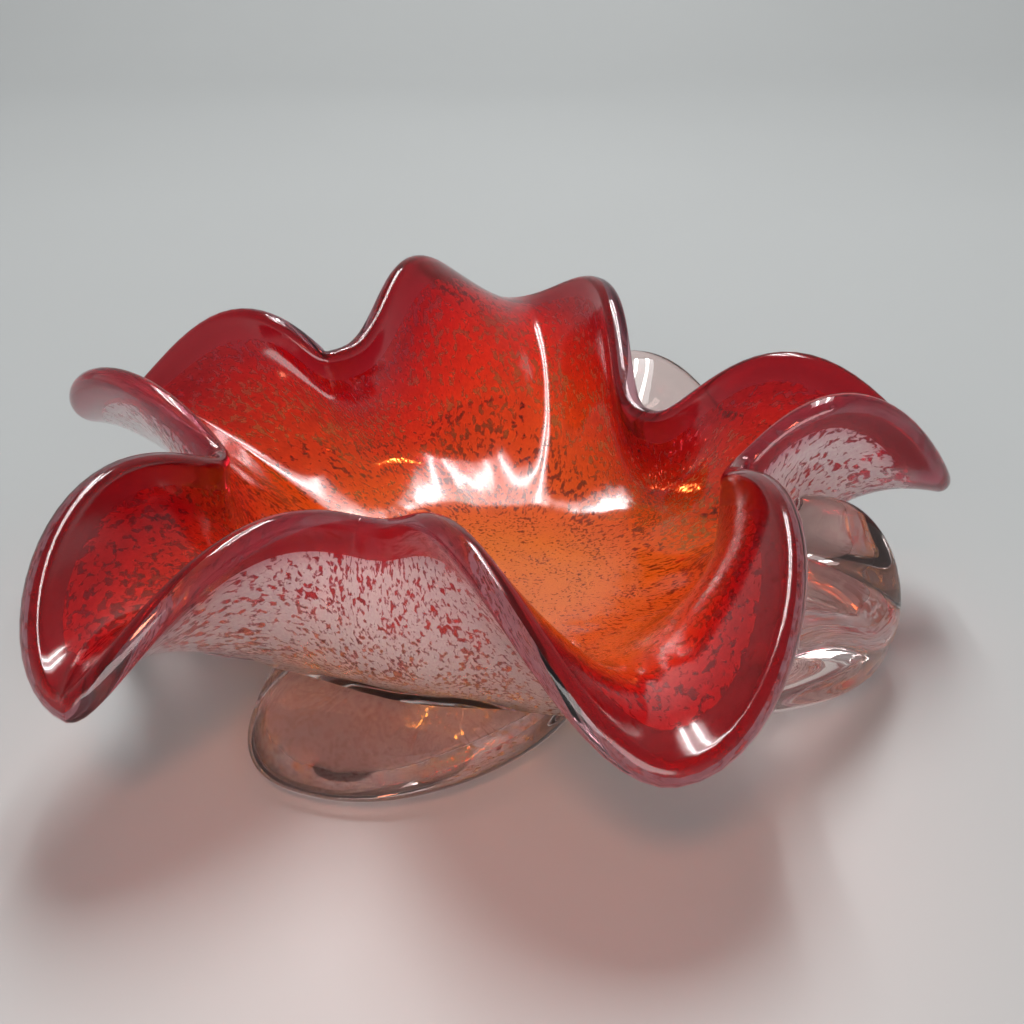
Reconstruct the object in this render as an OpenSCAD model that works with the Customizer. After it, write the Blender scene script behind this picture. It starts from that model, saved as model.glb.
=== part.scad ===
// Free-form art glass bowl with five drooping petals and five clear base lobes.
// It is built in layers, as the glass is gathered: a red inner lining, a leaf of
// silver flecks, a thick clear casing and five solid clear lobes under the pinches.
// Frame: origin in the middle of the ground foot, +Z up, -Y towards the front pinch.
// Angles run counter-clockwise seen from above and are measured from +X.

/* [Foot and floor] */
// Radius of the flat ground foot
foot_r = 40; // [34:1:42]
// How far the ground foot stands proud of the base and the lobes
foot_proud = 0.6; // [0.4:0.1:1]
// Radius where the base turns up into the belly
base_r = 46; // [44:1:50]
// Radius where the floor turns up into the wall, on the middle of the glass
floor_r = 34; // [30:1:38]
// Thickness of the glass in the floor
floor_t = 10; // [9:0.5:12]
// Radius of the polished pontil recess under the foot
pontil_r = 13; // [10:1:16]
// Depth of the polished pontil recess
pontil_depth = 1.4; // [0.8:0.1:2]

/* [Wall and lip] */
// Thickness of the glass half way up the wall
wall_t = 8.4; // [7:0.2:9]
// Thickness of the glass at the fire-polished lip
lip_t = 5.4; // [4.6:0.2:6]
// How far the belly swells out under a pinch before the wall rises
belly_pinch = 22; // [18:1:26]
// How far the belly swells out under a petal before the wall rises
belly_petal = 30; // [26:1:34]
// Rise of the belly over that reach
belly_rise = 4; // [2:1:6]

/* [Layers] */
// Thickness of the red lining
lining_t = 1.8; // [1.4:0.1:2.2]
// Thickness of the silver leaf layer
leaf_t = 0.4; // [0.3:0.05:0.5]
// How far up the wall the silver leaf runs, as a part of the whole
leaf_end = 0.9; // [0.85:0.05:0.95]

/* [Pinches] */
// Front pinch: rim angle, rim radius, rim height, breadth, foot angle
pinch_front = [-112, 65, 48, 1.25, -115]; // angles and lengths within 3 of these, breadth 1.1 to 1.45
// Right pinch: rim angle, rim radius, rim height, breadth, foot angle
pinch_right = [-24, 55, 44, 1.3, -25]; // angles and lengths within 3 of these, breadth 1.1 to 1.45
// Back right pinch: rim angle, rim radius, rim height, breadth, foot angle
pinch_back_right = [47, 54, 32, 1.35, 39]; // angles and lengths within 3 of these, breadth 1.1 to 1.45
// Back left pinch: rim angle, rim radius, rim height, breadth, foot angle
pinch_back_left = [127, 70, 42, 1.4, 112]; // angles and lengths within 3 of these, breadth 1.1 to 1.45
// Left pinch: rim angle, rim radius, rim height, breadth, foot angle
pinch_left = [189, 61, 41, 1.1, 184]; // angles and lengths within 3 of these, breadth 1.1 to 1.45

/* [Petals] */
// Front right petal: tip angle, reach, tip height, crest before, crest after, fold
petal_front_right = [-76, 119, 32, 17, 16, 0.02]; // angles and lengths within 3 of these, fold 0 to 0.14
// Right petal: tip angle, reach, tip height, crest before, crest after, fold
petal_right = [3, 99, 31, 18, 18, 0.1]; // angles and lengths within 3 of these, fold 0 to 0.14
// Back petal: tip angle, reach, tip height, crest before, crest after, fold
petal_back = [89, 119, 37, 18, 17, 0.02]; // angles and lengths within 3 of these, fold 0 to 0.14
// Left back petal: tip angle, reach, tip height, crest before, crest after, fold
petal_left_back = [147, 116, 27, 16, 18, 0.12]; // angles and lengths within 3 of these, fold 0 to 0.14
// Left front petal: tip angle, reach, tip height, crest before, crest after, fold
petal_left_front = [234, 121, 33, 15, 12, 0]; // angles and lengths within 3 of these, fold 0 to 0.14

/* [Lobes] */
// Half the width of a lobe, as a part of one petal's width
lobe_half = 0.42; // [0.34:0.02:0.46]
// Front lobe: how far it stands out, how far it reaches up the wall, its lift over its stand-out
lobe_front = [34, 0.25, 0]; // stand-out within 4 of this, reach 0.25 to 0.67, lift 0 to 0.5
// Right lobe: how far it stands out, how far it reaches up the wall, its lift over its stand-out
lobe_right = [35, 0.67, 0.1]; // stand-out within 4 of this, reach 0.25 to 0.67, lift 0 to 0.5
// Back right lobe: how far it stands out, how far it reaches up the wall, its lift over its stand-out
lobe_back_right = [36, 0.67, 0.5]; // stand-out within 4 of this, reach 0.25 to 0.67, lift 0 to 0.5
// Back left lobe: how far it stands out, how far it reaches up the wall, its lift over its stand-out
lobe_back_left = [28, 0.5, 0]; // stand-out within 4 of this, reach 0.25 to 0.67, lift 0 to 0.5
// Left lobe: how far it stands out, how far it reaches up the wall, its lift over its stand-out
lobe_left = [28, 0.5, 0]; // stand-out within 4 of this, reach 0.25 to 0.67, lift 0 to 0.5

/* [Hidden] */

// Mesh density: columns along a petal, then rows on the floor, up the wall and over the lip
petal_cols = 16;
floor_rows = 2;
wall_rows = 12;
lip_rows = 6;

PINCHES = [pinch_front, pinch_right, pinch_back_right, pinch_back_left, pinch_left];
PETALS = [petal_front_right, petal_right, petal_back, petal_left_back, petal_left_front];
petal_count = len(PETALS);
cols = petal_count * petal_cols;
rows = floor_rows + wall_rows;
leaf_row = floor_rows + round(leaf_end * wall_rows);

// The middle of the glass leaves the rim standing at a pinch and drooping at a petal's tip
pinch_slope = 98;
tip_slope = -12;
pinch_pull = 22;
tip_pull = 30;
floor_dish = 2.6;
floor_z = floor_t / 2;
foot_blend_rows = 5;
lobe_round = 2.4;
step = 0.004;

function mix(a, b, t) = a + (b - a) * t;
function ease(t) = t * t * (3 - 2 * t);
function unit(v) = v / norm(v);

// Rim at u petals round the bowl: angle, radius, height, petal weight, foot angle.
// s runs from -1 at one pinch to 1 at the next, and w from 0 at a pinch to 1 at the tip.
function rim(u) =
    let (
        k = floor(u),
        lap = floor(k / petal_count),
        i = k - lap * petal_count,
        j = (i + 1) % petal_count,
        turn = i + 1 == petal_count ? 360 : 0,
        s = 2 * (u - k) - 1,
        petal = PETALS[i],
        near = s < 0 ? PINCHES[i] : PINCHES[j],
        near_turn = s < 0 ? 0 : turn,
        phase = 180 * (1 - pow(1 - abs(s), near[3])),
        w = (1 + cos(phase)) / 2,
        half_angle = abs(near[0] + near_turn - petal[0]),
        crest = s < 0 ? petal[3] : petal[4]
    )
    [
        petal[0] + half_angle * (s + petal[5] * sin(180 * s)) + 360 * lap,
        mix(near[1], petal[1], w),
        mix(near[2], petal[2], w) + crest * pow(sin(phase), 2),
        w,
        mix(PINCHES[i][4], PINCHES[j][4] + turn, (s + 1) / 2) + 360 * lap
    ];

// Row height v: 0 in the middle of the floor, 1 where the wall begins, 2 at the rim
function middle(u, v) =
    let (edge = rim(u))
    v < 1
        ? let (q = max(v, 0))
            [
                floor_r * q * cos(edge[4]),
                floor_r * q * sin(edge[4]),
                floor_z - floor_dish * (1 - q * q)
            ]
        : let (
            q = v - 1,
            slope = mix(pinch_slope, tip_slope, edge[3]),
            pull = mix(pinch_pull, tip_pull, edge[3]),
            a = [floor_r, floor_z],
            b = a + [mix(belly_pinch, belly_petal, edge[3]), belly_rise],
            d = [edge[1], edge[2]],
            c = d - pull * [cos(slope), sin(slope)],
            p = pow(1 - q, 3) * a + 3 * q * pow(1 - q, 2) * b + 3 * q * q * (1 - q) * c + pow(q, 3) * d,
            angle = mix(edge[4], edge[0], pow(q, 1.5))
        )
            [p[0] * cos(angle), p[0] * sin(angle), p[1]];

// Slope of the middle surface up the wall
function climb(u, v) = unit(middle(u, min(v + step, 2)) - middle(u, v - step));

// Direction out through the glass, from the lining to the casing
function outward(u, v) =
    v <= step
        ? [0, 0, -1]
        : unit(cross(middle(u + step, v) - middle(u - step, v), climb(u, v)));

function half_t(v) =
    v < 1
        ? floor_t / 2
        : v < 1.5
            ? mix(floor_t, wall_t, (v - 1) / 0.5) / 2
            : mix(wall_t, lip_t, (v - 1.5) / 0.5) / 2;

function row_v(j) = j <= floor_rows ? j / floor_rows : 1 + (j - floor_rows) / wall_rows;
function col_u(i) = i / petal_cols;

// A row of points at a depth below the inner face
function depth_row(j, depth) =
    let (v = row_v(j))
    [
        for (i = [0 : cols - 1])
            middle(col_u(i), v) + (depth - half_t(v)) * outward(col_u(i), v)
    ];

// The casing's outer face, which leaves the base's edge and blends into the belly
function base_point(u) = let (angle = rim(u)[4]) base_r * [cos(angle), sin(angle), 0];
function outer_point(u, j) =
    let (
        v = row_v(j),
        raw = middle(u, v) + half_t(v) * outward(u, v),
        first = middle(u, 1) + half_t(1) * outward(u, 1),
        fade = 1 - ease(min(1, (j - floor_rows) / foot_blend_rows))
    )
    raw + fade * (base_point(u) - first);
function outer_row(j) = [for (i = [0 : cols - 1]) outer_point(col_u(i), j)];

// A row over the rounded lip: 0 degrees on the inner side, 180 on the outer side
function lip_row(turn) =
    [
        for (i = [0 : cols - 1])
            let (u = col_u(i), r = lip_t / 2)
            middle(u, 2) + r * (sin(turn) * climb(u, 2) - cos(turn) * outward(u, 2))
    ];
layer_turn = acos(1 - lining_t / (lip_t / 2));

// Rows for each layer, from its pole in the floor up, over its edge and back to the other pole
function leaf_depth(j) = j < leaf_row ? lining_t + leaf_t : lining_t;

// Closed skin over rings of points between two poles. Rows after the turn are split along the
// other diagonal, so that two layers which share a face split it the same way.
module skin(rings, first_pole, last_pole, turn) {
    n = len(rings[0]);
    m = len(rings);
    points = concat([first_pole], [for (ring = rings, p = ring) p], [last_pole]);
    function id(r, i) = 1 + r * n + i % n;
    faces = concat(
        [for (i = [0 : n - 1]) [0, id(0, i + 1), id(0, i)]],
        [
            for (r = [0 : m - 2], i = [0 : n - 1], half = [0, 1])
                r < turn
                    ? (half == 0
                        ? [id(r, i), id(r, i + 1), id(r + 1, i + 1)]
                        : [id(r, i), id(r + 1, i + 1), id(r + 1, i)])
                    : (half == 0
                        ? [id(r, i), id(r, i + 1), id(r + 1, i)]
                        : [id(r, i + 1), id(r + 1, i + 1), id(r + 1, i)])
        ],
        [for (i = [0 : n - 1]) [len(points) - 1, id(m - 1, i), id(m - 1, i + 1)]]
    );
    polyhedron(points = points, faces = faces, convexity = 10);
}

function inner_pole(depth) = [0, 0, floor_z - floor_dish + floor_t / 2 - depth];

// Red to orange glass that lines the bowl, lip included
module ruby_lining() {
    color("crimson")
        translate([0, 0, foot_proud])
            skin(
                concat(
                    [for (j = [1 : rows]) depth_row(j, 0)],
                    [for (k = [1 : lip_rows / 2]) lip_row(layer_turn * k / (lip_rows / 2))],
                    [for (j = [rows : -1 : 1]) depth_row(j, lining_t)]
                ),
                inner_pole(0),
                inner_pole(lining_t),
                rows + lip_rows / 2
            );
}

// Layer of silver leaf flecks that stops short of the lip
module silver_leaf() {
    color("silver")
        translate([0, 0, foot_proud])
            skin(
                concat(
                    [for (j = [1 : leaf_row]) depth_row(j, lining_t)],
                    [for (j = [leaf_row - 1 : -1 : 1]) depth_row(j, lining_t + leaf_t)]
                ),
                inner_pole(lining_t),
                inner_pole(lining_t + leaf_t),
                leaf_row - 1
            );
}

// Thick clear glass outside, on a flat ground foot with a polished pontil hollow
module crystal_casing() {
    ball_r = (pow(pontil_r, 2) + pow(pontil_depth, 2)) / (2 * pontil_depth);
    color("lavenderblush", 0.5)
        difference() {
            union() {
                translate([0, 0, foot_proud])
                    skin(
                        concat(
                            [for (j = [1 : rows]) depth_row(j, leaf_depth(j))],
                            [for (k = [0 : lip_rows - 1]) lip_row(mix(layer_turn, 180, k / lip_rows))],
                            [for (j = [rows : -1 : floor_rows]) outer_row(j)]
                        ),
                        inner_pole(lining_t + leaf_t),
                        [0, 0, 0],
                        rows
                    );
                cylinder(r = foot_r, h = floor_t / 3, $fn = 120);
            }
            translate([0, 0, pontil_depth - ball_r])
                sphere(r = ball_r, $fn = 120);
        }
}

// One solid clear lobe, melted on to the outside of the casing under pinch k
module lobe(k, shape) {
    w = round(lobe_half * petal_cols);
    h = round(shape[1] * wall_rows);
    n = 2 * w + 1;
    m = h + 1;
    angle = PINCHES[k][4];
    back = [
        for (i = [-w : w], j = [0 : h])
            outer_point(col_u(k * petal_cols + i + cols), floor_rows + j)
    ];
    front = [
        for (i = [1 : n - 2], j = [1 : m - 2])
            let (
                a = abs(i - w) / w,
                b = abs(2 * j - h) / h,
                swell = sqrt((1 - pow(a, lobe_round)) * (1 - pow(b, lobe_round))),
                push = [cos(angle), sin(angle), shape[2] * j / h]
            )
            back[i * m + j] + shape[0] * swell * push
    ];
    function on_edge(p) = p[0] == 0 || p[1] == 0 || p[0] == n - 1 || p[1] == m - 1;
    function at_back(p) = p[0] * m + p[1];
    function at_front(p) = on_edge(p) ? at_back(p) : n * m + (p[0] - 1) * (m - 2) + p[1] - 1;
    // A triangle with all its corners on the edge would have no thickness, so it is left out
    halves = [
        for (i = [0 : n - 2], j = [0 : m - 2], last = [[i + 1, j], [i, j + 1]])
            if (!(on_edge([i, j]) && on_edge([i + 1, j + 1]) && on_edge(last)))
                last[0] > i ? [[i, j], last, [i + 1, j + 1]] : [[i, j], [i + 1, j + 1], last]
    ];
    polyhedron(
        points = concat(back, front),
        faces = concat(
            [for (t = halves) [at_back(t[0]), at_back(t[2]), at_back(t[1])]],
            [for (t = halves) [at_front(t[0]), at_front(t[1]), at_front(t[2])]]
        ),
        convexity = 6
    );
}

module front_lobe() {
    color("mistyrose", 0.6) translate([0, 0, foot_proud]) lobe(0, lobe_front);
}

module right_lobe() {
    color("mistyrose", 0.6) translate([0, 0, foot_proud]) lobe(1, lobe_right);
}

module back_right_lobe() {
    color("mistyrose", 0.6) translate([0, 0, foot_proud]) lobe(2, lobe_back_right);
}

module back_left_lobe() {
    color("mistyrose", 0.6) translate([0, 0, foot_proud]) lobe(3, lobe_back_left);
}

module left_lobe() {
    color("mistyrose", 0.6) translate([0, 0, foot_proud]) lobe(4, lobe_left);
}

crystal_casing();
silver_leaf();
ruby_lining();
front_lobe();
right_lobe();
back_right_lobe();
back_left_lobe();
left_lobe();
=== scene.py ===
"""Art glass bowl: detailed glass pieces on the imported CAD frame, with studio, lights and camera.

The bowl's skin is one formula in two directions. u counts petals round the bowl, counter-clockwise
from the front pinch. v climbs the glass: 0 is the middle of the floor, 1 the foot of the wall and 2
the rim. The formula works in millimetres and degrees, as the CAD does, and meshes are in metres.

Glass is drawn as its outer skin only, so light bends once on the way in and once on the way out:
the red lining is the skin inside the bowl, the clear casing and the lobes are the skin outside, and
the silver leaf hangs between them.
"""
import math

import bmesh
import bpy
import mathutils
import numpy as np
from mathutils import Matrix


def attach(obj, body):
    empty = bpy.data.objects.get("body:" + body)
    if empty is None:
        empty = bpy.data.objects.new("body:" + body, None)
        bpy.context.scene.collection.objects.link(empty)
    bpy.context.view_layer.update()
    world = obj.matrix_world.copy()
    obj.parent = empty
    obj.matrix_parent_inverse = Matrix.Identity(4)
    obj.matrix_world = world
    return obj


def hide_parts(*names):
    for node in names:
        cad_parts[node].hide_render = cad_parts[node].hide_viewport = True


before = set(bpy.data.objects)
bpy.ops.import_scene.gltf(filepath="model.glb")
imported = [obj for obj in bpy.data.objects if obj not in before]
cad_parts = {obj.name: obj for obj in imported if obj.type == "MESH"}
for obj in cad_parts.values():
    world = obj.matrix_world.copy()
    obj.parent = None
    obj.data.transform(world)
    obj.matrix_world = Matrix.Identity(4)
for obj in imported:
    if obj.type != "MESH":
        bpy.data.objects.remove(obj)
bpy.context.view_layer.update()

MM = 0.001

# Pinches, from the front: rim angle, rim radius, rim height, breadth, foot angle
PINCHES = np.array([
    (-112, 65, 48, 1.25, -115),
    (-24, 55, 44, 1.3, -25),
    (47, 54, 32, 1.35, 39),
    (127, 70, 42, 1.4, 112),
    (189, 61, 41, 1.1, 184),
])
# Petals, from the front right: tip angle, reach, tip height, crest before, crest after, fold
PETALS = np.array([
    (-76, 119, 32, 17, 16, 0.02),
    (3, 99, 31, 18, 18, 0.1),
    (89, 119, 37, 18, 17, 0.02),
    (147, 116, 27, 16, 18, 0.12),
    (234, 121, 33, 15, 12, 0),
])
# Lobes, one under each pinch: node, how far it stands out, how far it reaches up the wall, lift
LOBES = (
    ("front_lobe", 34, 3 / 12, 0),
    ("right_lobe", 35, 8 / 12, 0.1),
    ("back_right_lobe", 36, 8 / 12, 0.5),
    ("back_left_lobe", 28, 6 / 12, 0),
    ("left_lobe", 28, 6 / 12, 0),
)
LOBE_HALF = 7 / 16
LOBE_ROUND = 2.4
PETAL_COUNT = len(PETALS)

BASE_R = 46
FOOT_R = 40
FOOT_PROUD = 0.6
FLOOR_R = 34
FLOOR_T = 10
FLOOR_DISH = 2.6
PONTIL_R = 13
PONTIL_DEPTH = 1.4
WALL_T = 8.4
LIP_T = 5.4
BELLY_PINCH, BELLY_PETAL = 22, 30
BELLY_RISE = 4
LINING_T = 1.8
LEAF_T = 0.4
LEAF_END = 1 + 11 / 12
PINCH_SLOPE, TIP_SLOPE = 98, -12
PINCH_PULL, TIP_PULL = 22, 30
FOOT_BLEND = 5 / 12
STEP = 0.004

LIP_CLIMB = 0.02  # how far the climb runs on past 2, round the lip
GRAIN_RUN = 30  # mm of grain from the foot of the wall to the rim, outwards
GRAIN_RISE = 10  # and upwards
FILM_SHRINK = 0.04  # how far the film's edge keeps inside the lip, as a share of the lip's radius

# Mesh density
PETAL_COLS = 64
FLOOR_ROWS = 14
WALL_ROWS = 60
LIP_ROWS = 10
LOBE_COLS = 64
LOBE_ROWS = 40
NORMAL_SAMPLE = 37  # one face in this many is asked which way it looks

# Colours, and the places along a ramp where they lie
GLASS_IOR = 1.5
LINING_STOPS = [
    (0.38, (1.00, 0.23, 0.008)),
    (0.70, (1.00, 0.11, 0.003)),
    (0.88, (0.96, 0.022, 0.002)),
    (0.97, (0.76, 0.004, 0.003)),
    (1.00, (0.56, 0.0008, 0.0025)),
]
CASING_TINT = (0.97, 0.95, 0.91)
# The lobes' salmon tint is a painted glow. It stands in for the red light that the bowl throws through
# its clear lobes.
LOBE_PAINTED_GLOW = (0.99, 0.80, 0.76)
LOBE_CLARITY = 0.975
LIP_RED = (0.60, 0.20, 0.27, 1)
LIP_RED_STOPS = [(0.945, 0.0), (0.985, 1.0)]
FILM_TONES = [(0.3, (0.42, 0.05, 0.11)), (0.7, (0.52, 0.09, 0.16))]
FILM_ALPHA = [(0.3, 0.34), (0.7, 0.46)]
LEAF_TONES = [(0.3, (0.86, 0.76, 0.82)), (0.7, (0.98, 0.955, 0.965))]
# Colour of the gaps between flecks: the lining's red, made darker as painted shade for the shade seen
# through the gaps. The gaps' alpha below keeps this painted shade partly opaque.
LEAF_GAP_RED_AND_SHADE = (0.42, 0.03, 0.11, 1)
LEAF_ALPHA = [(0.0, 0.42), (1.0, 0.96)]
# How much leaf is left: most of it in the floor, less up the wall, and none near the lip
LEAF_SPREAD = [(0.30, 0.52), (0.60, 0.475), (0.90, 0.465), (0.945, 0.47), (0.957, 0.44)]
LEAF_EDGE = [(0.89, 0.0), (0.955, 1.0)]
TABLE_TONES = [(0.3, (0.375, 0.388, 0.386)), (0.7, (0.390, 0.404, 0.402))]

# Studio, in metres and watts
WHITE = (1.0, 1.0, 1.0)
SKY = [
    (0.0, (0.80, 0.81, 0.82)),
    (0.25, (0.45, 0.46, 0.47)),
    (0.6, (0.22, 0.22, 0.23)),
    (1.0, (0.18, 0.18, 0.19)),
]
# Soft panels: name, place, aim, size, power, colour
PANELS = (
    ("ceiling_panel", (0.02, 0.45, 1.15), (0.02, 0.10, 0), (0.40, 0.9), 6.0, WHITE),
    ("tube_left", (-0.07, 0.45, 1.1), (-0.07, 0.10, 0), (0.05, 0.9), 4.0, WHITE),
    ("tube_right", (0.11, 0.45, 1.1), (0.11, 0.10, 0), (0.05, 0.9), 4.0, WHITE),
    ("front_fill", (0, -1.2, 0.40), (0, 0, 0.03), (1.4, 0.5), 11.5, (1.0, 0.95, 0.93)),
)
GLOW_PLACE, GLOW_AIM = (-0.05, -0.50, 0.45), (-0.005, -0.085, 0)
GLOW_CONE, GLOW_RADIUS, GLOW_POWER, GLOW_RED = 23, 0.06, 8.0, (1.0, 0.30, 0.17)
TABLE_HALF_WIDTH = 2.0
TABLE_FRONT, TABLE_BACK = -1.2, 0.75
SWEEP_R, SWEEP_STEPS, SWEEP_TOP = 0.5, 12, 1.6
CAMERA_PLACE = (0.003, -0.328, 0.1716)
CAMERA_PITCH = 24
CAMERA_LENS, CAMERA_SENSOR = 56.25, 36


# ---------------------------------------------------------------- the bowl's formula

def mix(a, b, t):
    return a + (b - a) * t


def ease(t):
    return t * t * (3 - 2 * t)


def unit(vectors):
    return vectors / np.linalg.norm(vectors, axis=-1, keepdims=True)


def rim(u):
    """Rim at u: angle, radius, height, petal weight (0 at a pinch, 1 at a tip), foot angle."""
    k = np.floor(u).astype(int)
    lap, i = np.divmod(k, PETAL_COUNT)
    j = (i + 1) % PETAL_COUNT
    turn = np.where(i + 1 == PETAL_COUNT, 360, 0)
    s = 2 * (u - k) - 1
    first, last, petal = PINCHES[i], PINCHES[j], PETALS[i]
    near = np.where((s < 0)[..., None], first, last)
    near_turn = np.where(s < 0, 0, turn)
    phase = math.pi * (1 - (1 - abs(s)) ** near[..., 3])
    weight = (1 + np.cos(phase)) / 2
    half_angle = abs(near[..., 0] + near_turn - petal[..., 0])
    crest = np.where(s < 0, petal[..., 3], petal[..., 4])
    angle = petal[..., 0] + half_angle * (s + petal[..., 5] * np.sin(math.pi * s)) + 360 * lap
    radius = mix(near[..., 1], petal[..., 1], weight)
    height = mix(near[..., 2], petal[..., 2], weight) + crest * np.sin(phase) ** 2
    foot_angle = mix(first[..., 4], last[..., 4] + turn, (s + 1) / 2) + 360 * lap
    return angle, radius, height, weight, foot_angle


def round_z(radius, angle, height):
    """Points from radius, angle in degrees and height."""
    a = np.radians(angle)
    return np.stack([radius * np.cos(a), radius * np.sin(a), height + 0 * a], axis=-1)


def middle(u, v):
    """The middle of the glass. u and v are arrays of one shape."""
    angle, radius, height, weight, foot_angle = rim(u)
    q = np.clip(v, 0, 1)
    floor = round_z(FLOOR_R * q, foot_angle, FLOOR_T / 2 - FLOOR_DISH * (1 - q * q))
    q = np.clip(v - 1, 0, 1)
    slope = np.radians(mix(PINCH_SLOPE, TIP_SLOPE, weight))
    pull = mix(PINCH_PULL, TIP_PULL, weight)
    b = FLOOR_R + mix(BELLY_PINCH, BELLY_PETAL, weight)
    c = radius - pull * np.cos(slope)
    c_z = height - pull * np.sin(slope)
    parts = (1 - q) ** 3, 3 * q * (1 - q) ** 2, 3 * q * q * (1 - q), q ** 3
    wall_r = parts[0] * FLOOR_R + parts[1] * b + parts[2] * c + parts[3] * radius
    wall_z = FLOOR_T / 2 * (parts[0] + parts[1]) + BELLY_RISE * parts[1]
    wall_z = wall_z + parts[2] * c_z + parts[3] * height
    wall = round_z(wall_r, mix(foot_angle, angle, q ** 1.5), wall_z)
    return np.where((v < 1)[..., None], floor, wall)


def climb(u, v):
    """Direction up the wall."""
    return unit(middle(u, np.minimum(v + STEP, 2)) - middle(u, v - STEP))


def outward(u, v):
    """Direction through the glass, from the lining to the casing."""
    out = np.cross(middle(u + STEP, v) - middle(u - STEP, v), climb(u, np.maximum(v, 2 * STEP)))
    flat = (v <= 2 * STEP)[..., None]
    return unit(np.where(flat, np.array([0.0, 0.0, -1.0]), out))


def half_t(v):
    return np.interp(v, [0, 1, 1.5, 2], [FLOOR_T / 2, FLOOR_T / 2, WALL_T / 2, LIP_T / 2])


def at_depth(u, v, depth):
    """Points at a depth below the inner face."""
    return middle(u, v) + (depth - half_t(v))[..., None] * outward(u, v)


def outer(u, v):
    """The casing's outer face above the foot."""
    first = np.ones_like(v)
    raw = middle(u, v) + half_t(v)[..., None] * outward(u, v)
    start = middle(u, first) + half_t(first)[..., None] * outward(u, first)
    fade = 1 - ease(np.clip((v - 1) / FOOT_BLEND, 0, 1))
    return raw + fade[..., None] * (round_z(BASE_R, rim(u)[4], 0) - start)


def lip(u, turn):
    """Round the lip: 0 degrees on the inner side, 180 on the outer side."""
    v = np.full_like(u, 2.0)
    t = np.radians(turn)[..., None]
    return middle(u, v) + LIP_T / 2 * (np.sin(t) * climb(u, v) - np.cos(t) * outward(u, v))


LAYER_TURN = math.degrees(math.acos(1 - LINING_T / (LIP_T / 2)))


# ---------------------------------------------------------------- grids and meshes

def columns():
    return np.arange(PETAL_COUNT * PETAL_COLS) / PETAL_COLS


def rows_up():
    floor = np.arange(1, FLOOR_ROWS) / FLOOR_ROWS
    return np.concatenate([floor, 1 + np.arange(WALL_ROWS + 1) / WALL_ROWS])


def grain_at(u, v):
    """Coordinates that ride with the glass. They are mm in the floor, and run slower up the wall,
    so that flecks which are round in the floor are drawn out there."""
    up = np.maximum(v - 1, 0)
    return round_z(FLOOR_R * np.minimum(v, 1) + GRAIN_RUN * up, rim(u)[4], GRAIN_RISE * up)


def ring_mesh(name, rows, v_rows, pole=None, skip=None):
    """Mesh over rings of points. pole closes the first ring, and skip(r, c) leaves a face out."""
    count, cols, _ = rows.shape
    points = rows.reshape(-1, 3)
    u = np.broadcast_to(columns(), (count, cols)).reshape(-1)
    v = np.broadcast_to(v_rows[:, None], (count, cols)).reshape(-1)
    faces = []
    for r in range(count - 1):
        for c in range(cols):
            if skip and skip(r, c):
                continue
            d = (c + 1) % cols
            faces.append((r * cols + c, r * cols + d, (r + 1) * cols + d, (r + 1) * cols + c))
    grain = grain_at(u, v)
    if pole is not None:
        points = np.vstack([points, pole])
        grain = np.vstack([grain, (0, 0, 0)])
        v = np.append(v, 0)
        faces += [(len(points) - 1, (c + 1) % cols, c) for c in range(cols)]
    return make_piece(name, points, faces, v, grain)


def make_piece(name, points, faces, v, grain):
    """A smooth-shaded object with the attributes climb (0 to 2) and grain (mm)."""
    mesh = bpy.data.meshes.new(name)
    mesh.from_pydata(((points + (0, 0, FOOT_PROUD)) * MM).tolist(), [], faces)
    climbs = mesh.attributes.new("climb", "FLOAT", "POINT")
    climbs.data.foreach_set("value", np.ascontiguousarray(v, float))
    grains = mesh.attributes.new("grain", "FLOAT_VECTOR", "POINT")
    grains.data.foreach_set("vector", grain.astype(float).ravel())
    mesh.polygons.foreach_set("use_smooth", [True] * len(faces))
    mesh.update()
    piece = bpy.data.objects.new(name, mesh)
    bpy.context.scene.collection.objects.link(piece)
    return piece


# ---------------------------------------------------------------- pieces

def lip_v(turns):
    """The lip's rows carry on past the rim in climb, so that colour can follow them."""
    return 2 + np.sin(np.radians(turns)) * LIP_CLIMB


def make_lining():
    """Red glass: the bowl's inner face, and the inner side of the lip."""
    v = rows_up()
    u_grid, v_grid = np.meshgrid(columns(), v)
    turns = LAYER_TURN * np.arange(1, LIP_ROWS // 2 + 1) / (LIP_ROWS // 2)
    face = at_depth(u_grid, v_grid, 0)
    edge = np.stack([lip(columns(), np.full_like(columns(), t)) for t in turns])
    pole = (0, 0, FLOOR_T - FLOOR_DISH)
    rows = np.concatenate([face, edge])
    return ring_mesh("red_lining", rows, np.concatenate([v, lip_v(turns)]), pole)


def make_leaf():
    """Silver leaf: one sheet between the lining and the casing, which stops short of the lip."""
    v = rows_up()
    v = v[v <= LEAF_END + 1e-6]
    u_grid, v_grid = np.meshgrid(columns(), v)
    depth = LINING_T + LEAF_T / 2
    pole = (0, 0, FLOOR_T - FLOOR_DISH - depth)
    return ring_mesh("silver_flecks", at_depth(u_grid, v_grid, depth), v, pole)


def make_film():
    """The outer face of the red lining above the leaf, which gives the lip its mauve band."""
    v = 1 + np.arange(round((LEAF_END - 1) * WALL_ROWS), WALL_ROWS + 1) / WALL_ROWS
    u_grid, v_grid = np.meshgrid(columns(), v)
    cols = columns()
    on_lip = lip(cols, np.full_like(cols, LAYER_TURN))
    edge = mix(on_lip, middle(cols, np.full_like(cols, 2)), FILM_SHRINK)
    rows = np.concatenate([at_depth(u_grid, v_grid, LINING_T), edge[None]])
    return ring_mesh("red_film", rows, np.append(v, lip_v(LAYER_TURN)))


def under_lobe(u, v):
    """Is this place on the casing covered by a lobe?"""
    k = round(u) % PETAL_COUNT
    offset = abs((u + PETAL_COUNT / 2 - k) % PETAL_COUNT - PETAL_COUNT / 2)
    return offset < LOBE_HALF and 1 < v < 1 + LOBES[k][2]


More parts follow.
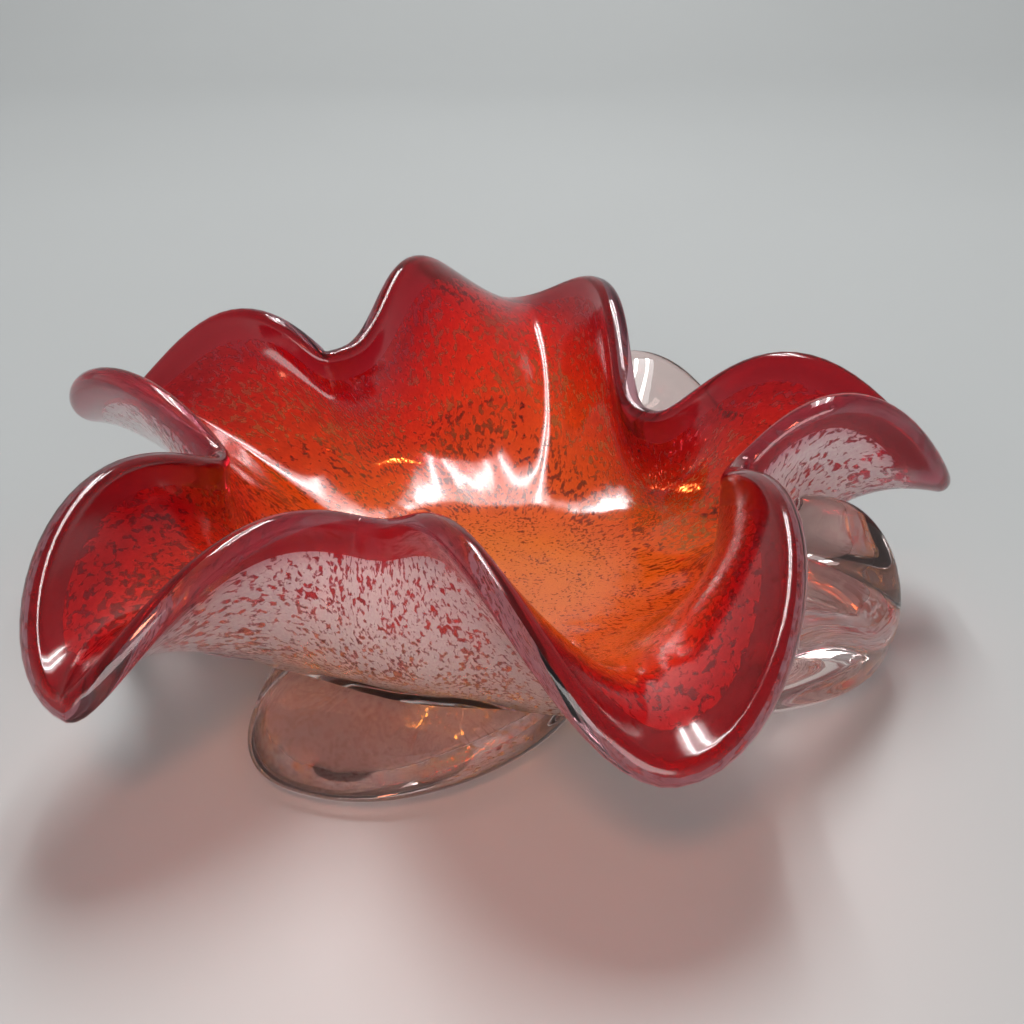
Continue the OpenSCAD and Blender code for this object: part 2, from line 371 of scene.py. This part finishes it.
def foot_profile():
    """Radius and height from the base's corner, over the ground foot, into the polished hollow."""
    ground = -FOOT_PROUD
    profile = [(FOOT_R + 0.3, 0), (FOOT_R, -0.15), (FOOT_R - 0.1, ground + 0.1), (FOOT_R - 0.4, ground)]
    profile += [(PONTIL_R + 6, ground), (PONTIL_R, ground)]
    for part in (0.85, 0.7, 0.5, 0.3, 0.1):
        profile.append((PONTIL_R * part, ground + PONTIL_DEPTH * (1 - part ** 2)))
    return profile


def make_casing():
    """Clear glass: the outer side of the lip, the outer face, the base, the foot and its hollow."""
    cols = columns()
    turns = LAYER_TURN + (180 - LAYER_TURN) * np.arange(LIP_ROWS) / LIP_ROWS
    edge = [lip(cols, np.full_like(cols, t)) for t in turns]
    v = 1 + np.arange(WALL_ROWS, -1, -1) / WALL_ROWS
    u_grid, v_grid = np.meshgrid(cols, v)
    face = outer(u_grid, v_grid)
    foot = foot_profile()
    base = [round_z(r, rim(cols)[4], z) for r, z in foot]
    rows = np.concatenate([np.stack(edge), face, np.stack(base)])
    low_v = np.array([r / BASE_R for r, z in foot])
    v_rows = np.concatenate([lip_v(turns), v, low_v])
    lip_count = len(turns)

    def covered(r, c):
        inside = lip_count <= r < lip_count + WALL_ROWS
        return inside and under_lobe((c + 0.5) / PETAL_COLS, (v_rows[r] + v_rows[r + 1]) / 2)

    piece = ring_mesh("clear_casing", rows, v_rows, None, covered)
    close_foot(piece, len(rows) - 1)
    return piece


def close_foot(piece, last_row):
    """Fill the small ring left in the middle of the hollow."""
    cols = len(columns())
    bm = bmesh.new()
    bm.from_mesh(piece.data)
    bm.verts.ensure_lookup_table()
    bm.faces.new([bm.verts[last_row * cols + c] for c in reversed(range(cols))])
    bm.to_mesh(piece.data)
    bm.free()


def make_lobe(k):
    """A solid clear lobe, melted on to the casing: its outer face only, for the glass is one."""
    node, stand_out, reach, lift = LOBES[k]
    a = np.sin(np.linspace(-1, 1, LOBE_COLS + 1) * math.pi / 2)
    b = np.sin(np.linspace(-1, 1, LOBE_ROWS + 1) * math.pi / 2)
    a_grid, b_grid = np.meshgrid(a, b, indexing="ij")
    u = k + PETAL_COUNT + LOBE_HALF * a_grid
    v = 1 + reach * (b_grid + 1) / 2
    swell = np.sqrt((1 - abs(a_grid) ** LOBE_ROUND) * (1 - abs(b_grid) ** LOBE_ROUND))
    push = stand_out * swell
    rise = push * lift * (b_grid + 1) / 2
    points = outer(u, v) + round_z(push, np.full_like(push, PINCHES[k][4]), rise)
    points = points.reshape(-1, 3)
    n = LOBE_ROWS + 1
    faces = []
    for i in range(LOBE_COLS):
        for j in range(LOBE_ROWS):
            faces.append((i * n + j, (i + 1) * n + j, (i + 1) * n + j + 1, i * n + j + 1))
    return make_piece(node + "_glass", points, faces, v.reshape(-1), grain_at(u, v).reshape(-1, 3))


# ---------------------------------------------------------------- materials

def new_material(name):
    material = bpy.data.materials.new(name)
    material.use_nodes = True
    nodes = material.node_tree.nodes
    return material, nodes, material.node_tree.links, nodes["Principled BSDF"]


def attribute(nodes, name):
    node = nodes.new("ShaderNodeAttribute")
    node.attribute_name = name
    return node


def ramp(nodes, links, factor, stops):
    """Colours or greys along a factor. stops is a list of (place, colour)."""
    node = nodes.new("ShaderNodeValToRGB")
    elements = node.color_ramp.elements
    while len(elements) < len(stops):
        elements.new(0.5)
    for element, (place, colour) in zip(elements, stops):
        element.position = place
        element.color = (*colour, 1) if isinstance(colour, tuple) else (colour, colour, colour, 1)
    links.new(factor, node.inputs["Fac"])
    return node.outputs["Color"]


def noise(nodes, links, vector, scale, detail=2.0, distortion=0.0):
    node = nodes.new("ShaderNodeTexNoise")
    node.inputs["Scale"].default_value = scale
    node.inputs["Detail"].default_value = detail
    node.inputs["Distortion"].default_value = distortion
    links.new(vector, node.inputs["Vector"])
    return node.outputs["Fac"]


def maths(nodes, links, operation, a, b):
    node = nodes.new("ShaderNodeMath")
    node.operation = operation
    for value, socket in ((a, node.inputs[0]), (b, node.inputs[1])):
        if isinstance(value, (int, float)):
            socket.default_value = value
        else:
            links.new(value, socket)
    return node.outputs["Value"]


def half_climb(nodes, links):
    """The climb as 0 to 1, with the foot of the wall at a half."""
    return maths(nodes, links, "MULTIPLY", attribute(nodes, "climb").outputs["Fac"], 0.5)


def blend(nodes, links, factor, a, b):
    """Colour a where factor is 0, and b where it is 1. Each is a socket or a colour."""
    node = nodes.new("ShaderNodeMix")
    node.data_type = "RGBA"
    links.new(factor, node.inputs["Factor"])
    for value, socket in ((a, node.inputs["A"]), (b, node.inputs["B"])):
        if isinstance(value, tuple):
            socket.default_value = value
        else:
            links.new(value, socket)
    return node.outputs["Result"]


def add_bump(nodes, links, shader, height, strength, distance):
    node = nodes.new("ShaderNodeBump")
    node.inputs["Strength"].default_value = strength
    node.inputs["Distance"].default_value = distance
    links.new(height, node.inputs["Height"])
    links.new(node.outputs["Normal"], shader.inputs["Normal"])


def glass(shader, roughness, clarity=1.0):
    shader.inputs["Transmission Weight"].default_value = clarity
    shader.inputs["Roughness"].default_value = roughness
    shader.inputs["IOR"].default_value = GLASS_IOR


def red_glass():
    """Golden orange in the floor, through scarlet, to crimson at the lip."""
    material, nodes, links, shader = new_material("red_glass")
    glass(shader, 0.12)
    grain = attribute(nodes, "grain").outputs["Vector"]
    cloud = noise(nodes, links, grain, 0.035)
    drift = maths(nodes, links, "MULTIPLY", cloud, 0.16)
    height = maths(nodes, links, "ADD", half_climb(nodes, links), drift)
    links.new(ramp(nodes, links, height, LINING_STOPS), shader.inputs["Base Color"])
    add_bump(nodes, links, shader, noise(nodes, links, grain, 0.10), 0.25, 0.001)
    return material


def red_film():
    """Mauve film where the red lining ends inside the lip."""
    material, nodes, links, shader = new_material("red_film")
    grain = attribute(nodes, "grain").outputs["Vector"]
    cloud = noise(nodes, links, grain, 0.12)
    links.new(ramp(nodes, links, cloud, FILM_TONES), shader.inputs["Base Color"])
    links.new(ramp(nodes, links, cloud, FILM_ALPHA), shader.inputs["Alpha"])
    shader.inputs["Roughness"].default_value = 0.3
    return material


def clear_glass(name, tint, roughness, clarity=1.0):
    """Clear glass. Towards the lip it takes on the red of the lining, which it is melted into."""
    material, nodes, links, shader = new_material(name)
    glass(shader, roughness, clarity)
    grain = attribute(nodes, "grain").outputs["Vector"]
    cloud = noise(nodes, links, grain, 0.05)
    paler = tuple(min(1, part * 1.03) for part in tint)
    clear = ramp(nodes, links, cloud, [(0.3, tint), (0.7, paler)])
    near_lip = ramp(nodes, links, half_climb(nodes, links), LIP_RED_STOPS)
    links.new(blend(nodes, links, near_lip, clear, LIP_RED), shader.inputs["Base Color"])
    add_bump(nodes, links, shader, noise(nodes, links, grain, 0.09), 0.2, 0.001)
    return material


def silver_leaf():
    """Torn silver leaf: whitish flecks, drawn out up the wall, with partly see-through gaps between
    them painted dark crimson: the lining's red, darkened as painted shade.
    """
    material, nodes, links, shader = new_material("silver_leaf")
    grain = attribute(nodes, "grain").outputs["Vector"]
    tears = noise(nodes, links, grain, 1.15, 3.0, 0.5)
    patches = noise(nodes, links, grain, 0.12)
    fine = noise(nodes, links, grain, 2.6, 2.0)
    pattern = maths(nodes, links, "ADD",
                    maths(nodes, links, "MULTIPLY", tears, 0.75),
                    maths(nodes, links, "MULTIPLY", patches, 0.25))
    spread = ramp(nodes, links, half_climb(nodes, links), LEAF_SPREAD)
    mask = ramp(nodes, links, maths(nodes, links, "ADD", pattern, spread), LEAF_EDGE)
    tone = ramp(nodes, links, fine, LEAF_TONES)
    # The gaps take the dark crimson, which is painted shade over the lining's red. The flecks take the
    # silver tones.
    links.new(blend(nodes, links, mask, LEAF_GAP_RED_AND_SHADE, tone), shader.inputs["Base Color"])
    links.new(ramp(nodes, links, mask, LEAF_ALPHA), shader.inputs["Alpha"])
    shader.inputs["Roughness"].default_value = 0.4
    add_bump(nodes, links, shader, pattern, 0.5, 0.0005)
    return material


# ---------------------------------------------------------------- studio

def make_floor():
    """A pale sweep: floor, a round corner behind the bowl, and the wall above it."""
    profile = [(TABLE_FRONT, 0), (TABLE_BACK, 0)]
    for step in range(1, SWEEP_STEPS + 1):
        a = math.radians(90 * step / SWEEP_STEPS)
        profile.append((TABLE_BACK + SWEEP_R * math.sin(a), SWEEP_R * (1 - math.cos(a))))
    profile.append((TABLE_BACK + SWEEP_R, SWEEP_TOP))
    points = [(x, y, z) for y, z in profile for x in (-TABLE_HALF_WIDTH, TABLE_HALF_WIDTH)]
    faces = [(2 * i, 2 * i + 1, 2 * i + 3, 2 * i + 2) for i in range(len(profile) - 1)]
    mesh = bpy.data.meshes.new("floor")
    mesh.from_pydata(points, [], faces)
    mesh.polygons.foreach_set("use_smooth", [True] * len(faces))
    floor = bpy.data.objects.new("floor", mesh)
    bpy.context.scene.collection.objects.link(floor)
    material, nodes, links, shader = new_material("pale_floor")
    place = nodes.new("ShaderNodeTexCoord").outputs["Object"]
    shade = noise(nodes, links, place, 3.0)
    links.new(ramp(nodes, links, shade, TABLE_TONES), shader.inputs["Base Color"])
    shader.inputs["Roughness"].default_value = 0.5
    mesh.materials.append(material)


def hang(name, light, place, aim):
    """Put a light at a place, looking at its aim."""
    lamp = bpy.data.objects.new(name, light)
    lamp.location = place
    view = mathutils.Vector(aim) - mathutils.Vector(place)
    lamp.rotation_euler = view.to_track_quat("-Z", "Y").to_euler()
    bpy.context.scene.collection.objects.link(lamp)


def add_panel(name, place, aim, size, power, colour):
    light = bpy.data.lights.new(name, "AREA")
    light.shape = "RECTANGLE"
    light.size, light.size_y = size
    light.energy = power
    light.color = colour
    hang(name, light, place, aim)


def add_glow():
    """A soft warm pool on the table, for the light that real red glass throws in front of it."""
    light = bpy.data.lights.new("glow", "SPOT")
    light.spot_size = math.radians(GLOW_CONE)
    light.spot_blend = 1.0
    light.shadow_soft_size = GLOW_RADIUS
    light.energy = GLOW_POWER
    light.color = GLOW_RED
    hang("glow", light, GLOW_PLACE, GLOW_AIM)


def light_studio():
    world = bpy.data.worlds.new("studio")
    bpy.context.scene.world = world
    world.use_nodes = True
    nodes, links = world.node_tree.nodes, world.node_tree.links
    background = nodes["Background"]
    split = nodes.new("ShaderNodeSeparateXYZ")
    links.new(nodes.new("ShaderNodeTexCoord").outputs["Generated"], split.inputs[0])
    links.new(ramp(nodes, links, split.outputs["Z"], SKY), background.inputs["Color"])
    for panel in PANELS:
        add_panel(*panel)
    add_glow()


def place_camera():
    camera = bpy.data.cameras.new("camera")
    camera.sensor_width = CAMERA_SENSOR
    camera.lens = CAMERA_LENS
    holder = bpy.data.objects.new("camera", camera)
    holder.location = CAMERA_PLACE
    holder.rotation_euler = (math.radians(90 - CAMERA_PITCH), 0, 0)
    bpy.context.scene.collection.objects.link(holder)
    bpy.context.scene.camera = holder
    bpy.context.scene.view_settings.view_transform = "Standard"


# ---------------------------------------------------------------- assembly

def face_out(piece, away, up):
    """Make the face normals look out of the glass. away is 1 for a face that looks away from the
    bowl's axis and -1 for one that looks at it, and up is what it looks up or down besides."""
    mesh = piece.data
    votes = 0
    for face in list(mesh.polygons)[::NORMAL_SAMPLE]:
        wanted = mathutils.Vector((away * face.center.x, away * face.center.y, up))
        votes += 1 if face.normal.dot(wanted) > 0 else -1
    if votes < 0:
        mesh.flip_normals()


def dress(piece, material, slot, *nodes):
    piece.data.materials.append(material)
    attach(piece, "root")
    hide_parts(*nodes)


place_camera()
make_floor()
light_studio()

lining = make_lining()
face_out(lining, -1, 0.12)
dress(lining, red_glass(), "red_glass", "ruby_lining")

leaf = make_leaf()
dress(leaf, silver_leaf(), "silver_flecks", "silver_leaf")

film = make_film()
dress(film, red_film(), "red_glass", "ruby_lining")

casing = make_casing()
face_out(casing, 1, -0.12)
dress(casing, clear_glass("clear_glass", CASING_TINT, 0.06), "clear_glass", "crystal_casing")

# The lobe glass carries a painted salmon glow in its tint, for the red light that passes through the
# lobes.
lobe_glass = clear_glass("lobe_glass", LOBE_PAINTED_GLOW, 0.02, LOBE_CLARITY)
for k, (node, *_) in enumerate(LOBES):
    lobe = make_lobe(k)
    face_out(lobe, 1, 0)
    dress(lobe, lobe_glass, "lobe_glass", node)
